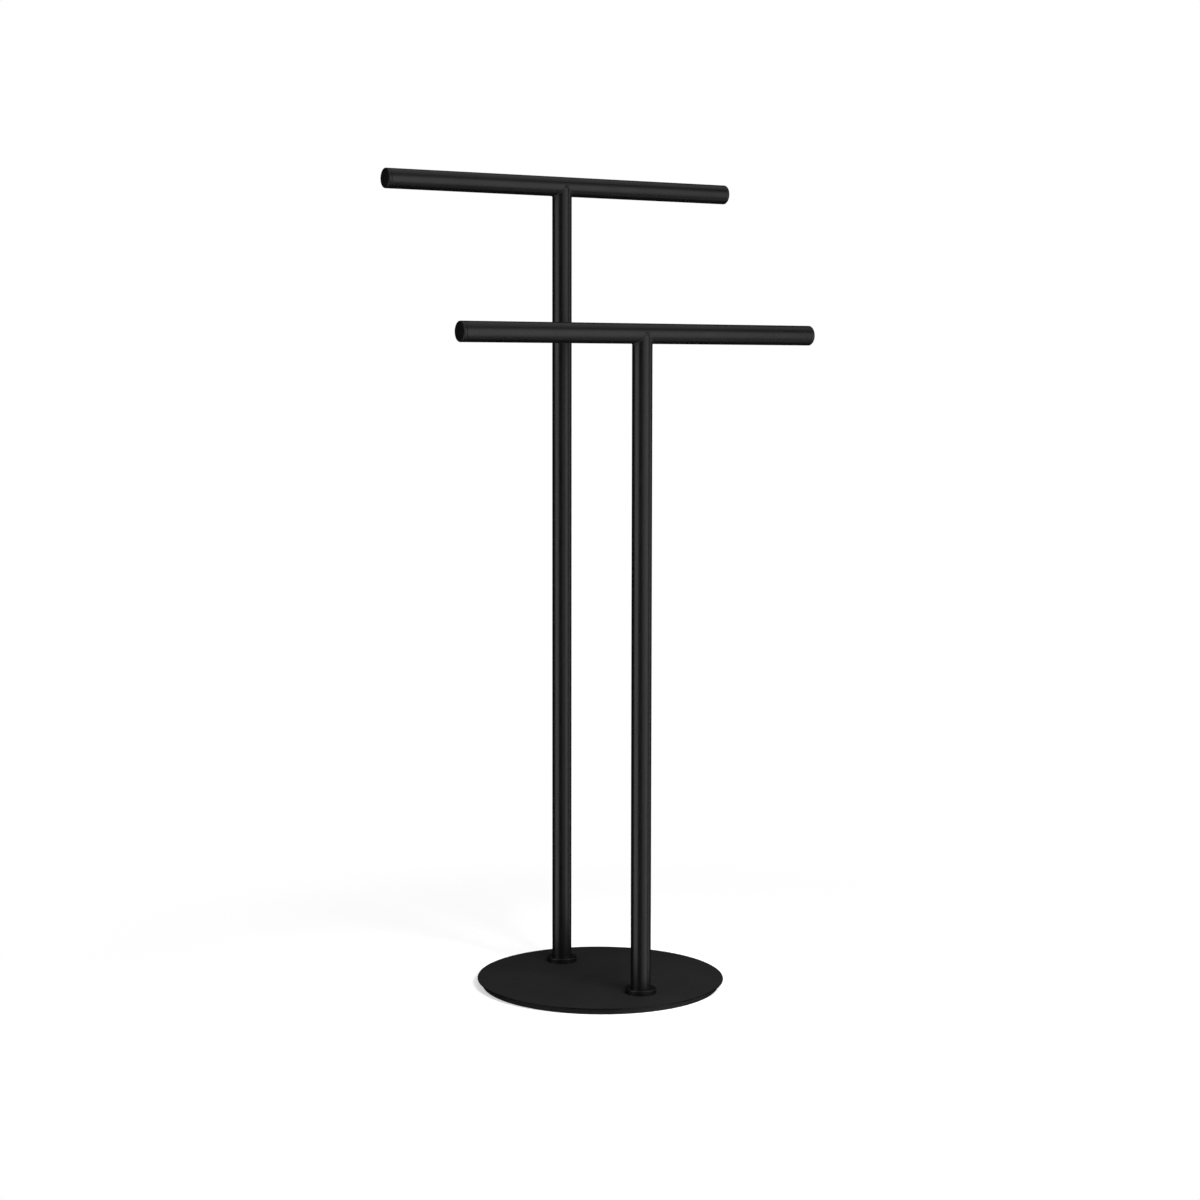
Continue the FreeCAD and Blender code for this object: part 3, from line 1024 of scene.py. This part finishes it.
@dataclass
class GripMat:
    """Rubber mat under the base: a lip round its edge and rings of small studs inside it.

    Each ring has as many studs more than the one inside it as the first ring has.
    """

    node: str = "non_slip_mat"
    edge_round: float = 0.3 * MM
    edge_steps: int = 3
    lip: float = 4 * MM
    recess: float = 0.4 * MM
    stud: float = 1.7 * MM
    stud_top: float = 1.2 * MM
    stud_gap: float = 7.5 * MM
    ring_studs: int = 6
    facing_down: float = -0.99
    hole: float = 8 * MM
    hole_y: float = 75 * MM
    steps: int = 256
    hole_steps: int = 48
    stud_steps: int = 10

    def stud_places(self, radius: float) -> list[Vector]:
        """Places of the studs, in rings about the middle.

        Args:
            radius: radius of the mat.

        Returns:
            The places that are clear of the lip and of the screw holes.
        """
        clear = self.hole + 2 * self.stud
        holes = [Vector((0.0, self.hole_y, 0.0)), Vector((0.0, -self.hole_y, 0.0))]
        places = []
        rings = math.floor((radius - self.lip - self.stud) / self.stud_gap)
        for ring in range(1, rings + 1):
            away = ring * self.stud_gap
            count = self.ring_studs * ring
            for index in range(count):
                turned = Matrix.Rotation(math.tau * index / count, 4, "Z")
                place = turned @ Vector((away, 0.0, 0.0))
                if all((place - hole).length > clear for hole in holes):
                    places.append(place)
        return places

    def build(self, finishes: Finishes) -> None:
        """Models the mat.

        Args:
            finishes: the materials.
        """
        low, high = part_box(self.node)
        radius = high.x
        thickness = high.z - low.z
        mesh = rod(radius, 0.0, thickness, self.steps)
        edges = rim(mesh, radius, 0.0) + rim(mesh, radius, thickness)
        soften(mesh, edges, self.edge_round, self.edge_steps)
        sole = [face for face in mesh.faces if face.normal.z < self.facing_down]
        bmesh.ops.inset_region(mesh, faces=sole, thickness=self.lip, depth=0.0)
        bmesh.ops.inset_region(mesh, faces=sole, thickness=self.recess, depth=0.0)
        raised = {vert for face in sole for vert in face.verts}
        bmesh.ops.translate(mesh, verts=list(raised), vec=(0.0, 0.0, self.recess))
        piece = add_piece(f"{self.node}_moulded", mesh, Matrix.Identity(4), finishes.rubber)
        cutters = []
        for place_y in (self.hole_y, -self.hole_y):
            drill = rod(self.hole, -2 * thickness, 2 * thickness, self.hole_steps)
            at = Matrix.Translation((0.0, place_y, 0.0))
            cutters.append(add_piece("hole_cutter", drill, at, finishes.rubber))
        carve(piece, cutters)
        whole = bmesh.new()
        whole.from_mesh(piece.data)
        for place in self.stud_places(radius):
            bmesh.ops.create_cone(
                whole,
                cap_ends=True,
                segments=self.stud_steps,
                radius1=self.stud_top,
                radius2=self.stud,
                depth=self.recess,
                matrix=Matrix.Translation(place + Vector((0.0, 0.0, self.recess / 2))),
            )
        whole.to_mesh(piece.data)
        whole.free()
        piece.data.set_sharp_from_angle(angle=SMOOTH_BELOW)
        stand_in(piece, self.node)


@dataclass
class Base:
    """Round base: a painted cover over a painted weight, on a rubber mat."""

    mat: GripMat = field(default_factory=GripMat)

    def build(self, finishes: Finishes) -> None:
        """Models and dresses the pieces of the base.

        Args:
            finishes: the materials.
        """
        dress("base_cover", finishes.plate)
        dress("base_weight", finishes.plate)
        self.mat.build(finishes)


# ---- Studio -----------------------------------------------------------------------------------


def round_the_stand(bearing: float, away: float, height: float) -> Vector:
    """Place in the studio.

    Args:
        bearing: degrees from the front, -Y, towards the left, -X.
        away: distance from the stand's middle.
        height: height over the floor.

    Returns:
        The place.
    """
    turned = math.radians(bearing)
    return Vector((-math.sin(turned) * away, -math.cos(turned) * away, height))


@dataclass(frozen=True)
class Lamp:
    """Soft lamp that lights the stand and its floor, and shows in no reflection."""

    name: str
    bearing: float
    away: float
    height: float
    size: float
    level: float
    aim: float = 0.3

    def hang(self) -> None:
        """Hangs the lamp."""
        spot = round_the_stand(self.bearing, self.away, self.height)
        data = bpy.data.lights.new(self.name, "AREA")
        data.shape = "DISK"
        data.size = self.size
        data.energy = self.level
        lamp = bpy.data.objects.new(self.name, data)
        lamp.location = spot
        aim = Vector((0.0, 0.0, self.aim)) - spot
        lamp.rotation_euler = aim.to_track_quat("-Z", "Y").to_euler()
        lamp.visible_camera = False
        lamp.visible_glossy = False
        bpy.context.scene.collection.objects.link(lamp)


def show_in_reflections_only(card: bpy.types.Object) -> None:
    """Makes a card show in reflections, cast no shadow and hide nothing from the camera.

    Args:
        card: the card.
    """
    card.visible_camera = False
    card.visible_diffuse = False
    card.visible_shadow = False
    card.visible_transmission = False


# Grades of a card from its foot to its top: elevation in degrees, and share of its glow.
GRADES = (
    (-75, 0.35),
    (-55, 0.52),
    (-40, 0.78),
    (-26, 0.95),
    (-14, 1.0),
    (16, 1.0),
    (32, 0.35),
    (46, 0.35),
)


@dataclass(frozen=True)
class Card:
    """Upright glowing card, no lamp, seen only in reflections, that paints a highlight band in the
    satin paint, graded from its foot to its top.

    It stands far off, and is given as the stand sees it: the bearings of its two edges in degrees,
    and its grades.
    """

    name: str
    start: float
    end: float
    glow: float
    grades: tuple[tuple[float, float], ...] = GRADES
    away: float = 5.0
    eye: float = 0.6

    def levels(self) -> list[tuple[float, float]]:
        """Heights and shares of glow of the grades.

        Returns:
            Height and share of each grade.
        """
        return [
            (self.eye + self.away * math.tan(math.radians(elevation)), share)
            for elevation, share in self.grades
        ]

    def material(self) -> bpy.types.Material:
        """Makes the card's glow.

        Returns:
            The material.
        """
        material, glow = glowing(self.name, self.glow)
        tree = material.node_tree
        place = tree.nodes.new("ShaderNodeTexCoord")
        split = tree.nodes.new("ShaderNodeSeparateXYZ")
        tree.links.new(place.outputs["Object"], split.inputs["Vector"])
        levels = self.levels()
        foot, top = levels[0][0], levels[-1][0]
        height = share_between(tree, split.outputs["Z"], foot, top)
        ramp = tree.nodes.new("ShaderNodeValToRGB")
        stops = ramp.color_ramp.elements
        for level, _ in levels[1:-1]:
            stops.new((level - foot) / (top - foot))
        for stop, (_, share) in zip(stops, levels):
            stop.color = (share, share, share, 1.0)
        tree.links.new(height.outputs["Result"], ramp.inputs["Fac"])
        tree.links.new(ramp.outputs["Color"], glow.inputs["Color"])
        return material

    def stand(self) -> None:
        """Stands the card in its place, facing the stand."""
        levels = self.levels()
        foot, top = levels[0][0], levels[-1][0]
        bearing = (self.start + self.end) / 2
        width = 2 * self.away * math.tan(math.radians(abs(self.end - self.start) / 2))
        mesh = bmesh.new()
        bmesh.ops.create_grid(mesh, x_segments=1, y_segments=1, size=0.5)
        sized = Matrix.Diagonal((width, top - foot, 1.0, 1.0))
        upright = Matrix.Rotation(math.pi / 2, 4, "X") @ sized
        turned = Matrix.Rotation(math.radians(-bearing), 4, "Z")
        middle = round_the_stand(bearing, self.away, (foot + top) / 2)
        seat = Matrix.Translation(middle) @ turned @ upright
        show_in_reflections_only(add_piece(self.name, mesh, seat, self.material()))


# Glowing cards seen only in reflections: painted highlight bands on the tubes, bars and base.
CARDS = (
    Card("left_card", start=69.5, end=118.5, glow=1.15),
    Card("right_card_edge", start=-42, end=-17, glow=1.22),
    Card("right_card_core", start=-17, end=3, glow=0.78),
    Card("right_card_fade", start=3, end=21, glow=0.5),
    Card("right_card_end", start=21, end=35, glow=0.15),
    Card("right_card_gap", start=-62, end=-42, glow=0.1),
    Card("rim_card", start=-80, end=-62, glow=0.75),
)
LAMPS = (
    Lamp("key_lamp", bearing=0, away=0.62, height=0.48, size=0.5, level=8.0, aim=0.0),
    Lamp("left_lamp", bearing=80, away=1.9, height=1.3, size=1.2, level=6.0),
    Lamp("top_lamp", bearing=0, away=0.4, height=2.4, size=1.5, level=5.0, aim=0.0),
)


@dataclass(frozen=True)
class Camera:
    """Camera of the photograph, tilted a little so that other views keep the whole stand.

    Lengths are in metres, the sensor and the lens in millimetres, and the angles in radians.
    """

    sensor: float = 36.0
    lens: float = 70.1176
    shift_x: float = 0.03608
    shift_y: float = -0.04
    place: tuple[float, float, float] = (-1.25534, -1.98155, 0.6121)
    tilt: float = 0.07304
    heading: float = -0.5458

    def set_up(self) -> None:
        """Sets up the camera and makes it the scene's own."""
        data = bpy.data.cameras.new("camera")
        data.sensor_fit = "HORIZONTAL"
        data.sensor_width = self.sensor
        data.lens = self.lens
        data.shift_x = self.shift_x
        data.shift_y = self.shift_y
        camera = bpy.data.objects.new("camera", data)
        camera.location = self.place
        camera.rotation_euler = (math.pi / 2 - self.tilt, 0.0, self.heading)
        bpy.context.scene.collection.objects.link(camera)
        bpy.context.scene.camera = camera


@dataclass
class Studio:
    """White floor and backdrop, soft lamps, glowing cards and a painted floor shadow seen only in
    reflections, and the camera.
    """

    floor_radius: float = 30.0
    floor_steps: int = 96
    fade_from: float = 0.2
    fade_to: float = 0.65
    surround_radius: float = 7.0
    surround_steps: int = 64
    surround_foot: float = -26.0
    surround_top: float = 8.0
    surround_glow: float = 0.015
    ceiling_glow: float = 0.5
    shade_inside: float = 0.126
    shade_outside: float = 0.165
    shade_height: float = -0.5 * MM
    shade_turn: float = math.radians(-22)
    shade_steps: int = 48
    ambient: float = 0.25
    floor_tone: float = 0.8
    floor_lift: float = 0.48

    def white_share(self, tree: bpy.types.NodeTree) -> Socket:
        """Share of the plain white backdrop: all of it for camera, glossy and transmission rays.

        Args:
            tree: node tree of the floor or the world.

        Returns:
            1 for those rays, else 0.
        """
        path = tree.nodes.new("ShaderNodeLightPath")
        share = path.outputs["Is Camera Ray"]
        for kind in ("Is Glossy Ray", "Is Transmission Ray"):
            share = combine(tree, "MAXIMUM", share, path.outputs[kind])
        return share

    def build_world(self) -> None:
        """Makes the white backdrop and the soft light that comes from all round."""
        world = bpy.data.worlds.new("studio")
        world.use_nodes = True
        tree = world.node_tree
        light = tree.nodes["Background"]
        light.inputs["Color"].default_value = WHITE
        light.inputs["Strength"].default_value = self.ambient
        white = tree.nodes.new("ShaderNodeBackground")
        white.inputs["Color"].default_value = WHITE
        white.inputs["Strength"].default_value = 1.0
        mix = tree.nodes.new("ShaderNodeMixShader")
        tree.links.new(self.white_share(tree), mix.inputs["Fac"])
        tree.links.new(light.outputs["Background"], mix.inputs[1])
        tree.links.new(white.outputs["Background"], mix.inputs[2])
        tree.links.new(mix.outputs["Shader"], tree.nodes["World Output"].inputs["Surface"])
        bpy.context.scene.world = world

    def build_floor(self) -> None:
        """Lays the white floor, which keeps the stand's shadow and runs into the white backdrop."""
        material = bpy.data.materials.new("studio_floor")
        material.use_nodes = True
        tree = material.node_tree
        tree.nodes.remove(tree.nodes["Principled BSDF"])
        share = self.white_share(tree)
        paint = tree.nodes.new("ShaderNodeBsdfDiffuse")
        tone = self.floor_tone
        paint.inputs["Color"].default_value = (tone, tone, tone, 1.0)
        lift = tree.nodes.new("ShaderNodeEmission")
        strength = combine(tree, "MULTIPLY", share, self.floor_lift)
        tree.links.new(strength, lift.inputs["Strength"])
        lit = tree.nodes.new("ShaderNodeAddShader")
        tree.links.new(paint.outputs["BSDF"], lit.inputs[0])
        tree.links.new(lift.outputs["Emission"], lit.inputs[1])
        place = tree.nodes.new("ShaderNodeTexCoord")
        away = tree.nodes.new("ShaderNodeVectorMath")
        away.operation = "LENGTH"
        tree.links.new(place.outputs["Object"], away.inputs[0])
        fade = share_between(tree, away.outputs["Value"], self.fade_from, self.fade_to)
        fade.interpolation_type = "SMOOTHSTEP"
        faded = combine(tree, "MULTIPLY", fade.outputs["Result"], share)
        white = tree.nodes.new("ShaderNodeEmission")
        mix = tree.nodes.new("ShaderNodeMixShader")
        tree.links.new(faded, mix.inputs["Fac"])
        tree.links.new(lit.outputs["Shader"], mix.inputs[1])
        tree.links.new(white.outputs["Emission"], mix.inputs[2])
        tree.links.new(mix.outputs["Shader"], tree.nodes["Material Output"].inputs["Surface"])
        mesh = bmesh.new()
        bmesh.ops.create_circle(
            mesh, cap_ends=True, radius=self.floor_radius, segments=self.floor_steps
        )
        floor = add_piece("studio_floor", mesh, Matrix.Identity(4), material)
        floor.visible_glossy = False

    def build_surround(self) -> None:
        """Stands dark cloth round the set, under a dim ceiling, for the reflections alone.

        Black tube is photographed between dark cards, which keep its edges and the bands between
        its highlights dark. The floor, the shadow and the soft light don't see them. The ceiling
        glows, no lamp, as a painted reflection, and a dark half ring by the base is a painted floor
        shadow, both seen only in reflections.
        """
        drum = rod(
            self.surround_radius,
            self.surround_foot,
            self.surround_top,
            self.surround_steps,
            capped=False,
        )
        dark, _ = glowing("dark_cloth", self.surround_glow)
        show_in_reflections_only(add_piece("dark_cloth", drum, Matrix.Identity(4), dark))
        lid = bmesh.new()
        bmesh.ops.create_circle(
            lid,
            cap_ends=True,
            radius=self.surround_radius,
            segments=self.surround_steps,
            matrix=Matrix.Translation((0.0, 0.0, self.surround_top)),
        )
        dim, _ = glowing("ceiling", self.ceiling_glow)
        show_in_reflections_only(add_piece("ceiling", lid, Matrix.Identity(4), dim))
        # Dark half ring on the floor beside the base, seen only in reflections: a painted shadow of
        # the floor, reflected in the base's rim.
        shade = bmesh.new()
        radii = (self.shade_inside, self.shade_outside)
        ends = [shade.verts.new((0.0, -radius, self.shade_height)) for radius in radii]
        bmesh.ops.spin(
            shade,
            geom=[*ends, shade.edges.new(ends)],
            cent=(0.0, 0.0, 0.0),
            axis=(0.0, 0.0, -1.0),
            angle=math.pi,
            steps=self.shade_steps,
            use_merge=False,
        )
        turned = Matrix.Rotation(self.shade_turn, 4, "Z")
        show_in_reflections_only(add_piece("painted_floor_shadow", shade, turned, dark))

    def build(self) -> None:
        """Builds the studio."""
        self.build_world()
        self.build_floor()
        self.build_surround()
        for card in CARDS:
            card.stand()
        for lamp in LAMPS:
            lamp.hang()
        Camera().set_up()
        bpy.context.scene.view_settings.view_transform = "Standard"


def main() -> None:
    """Builds the stand and the studio."""
    logging.basicConfig(level=logging.INFO, format="%(name)s: %(message)s")
    finishes = Finishes()
    Base().build(finishes)
    for name in ("front", "rear"):
        Rack(name).build(finishes)
    Studio().build()


if __name__ == "__main__":
    main()
